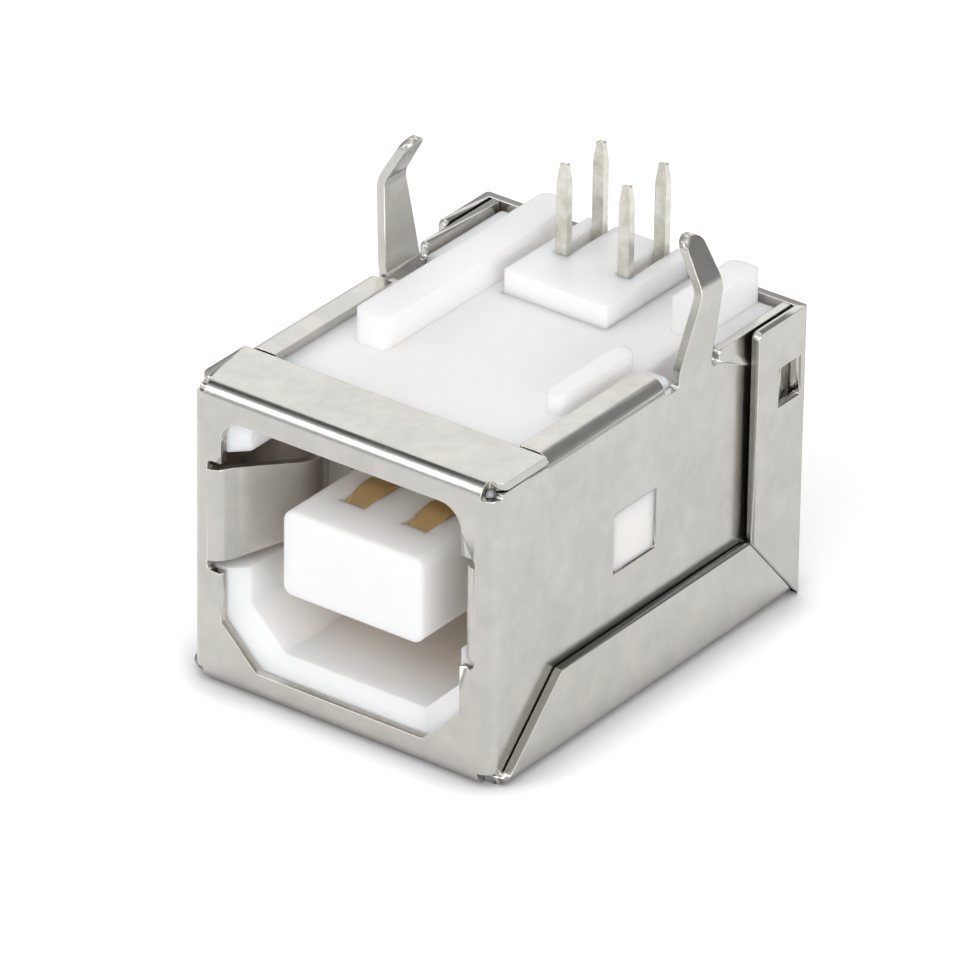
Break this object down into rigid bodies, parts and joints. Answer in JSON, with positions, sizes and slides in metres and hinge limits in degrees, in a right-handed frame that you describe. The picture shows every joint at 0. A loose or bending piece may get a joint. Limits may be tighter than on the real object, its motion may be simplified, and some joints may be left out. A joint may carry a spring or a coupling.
{
  "type": "usb-b socket",
  "caption": "Square USB-B socket for a circuit board: folded metal shell with spring fingers and board legs, white insulator with a contact tongue, and solder pins.",
  "frame": {"origin": "centre of the base of the bounding box: under the middle of the shell, on the outside of its closed top plate, which lies on the table", "axes": "+X to the right seen from the plug opening, +Y from the opening to the back plate, +Z from the closed top plate to the solder pins"},
  "size_m": [0.013, 0.0164, 0.0153],
  "materials": {
    "plated_sheet": "nickel plated, satin",
    "white_plastic": "moulded, satin",
    "contact_metal": "gold flash on the beams, tin on the pins"
  },
  "bodies": {
    "root": {"shell": "plated_sheet", "housing": "white_plastic", "pin_spacer": "white_plastic", "contact_1": "contact_metal", "contact_2": "contact_metal", "contact_3": "contact_metal", "contact_4": "contact_metal"}
  },
  "joints": []
}
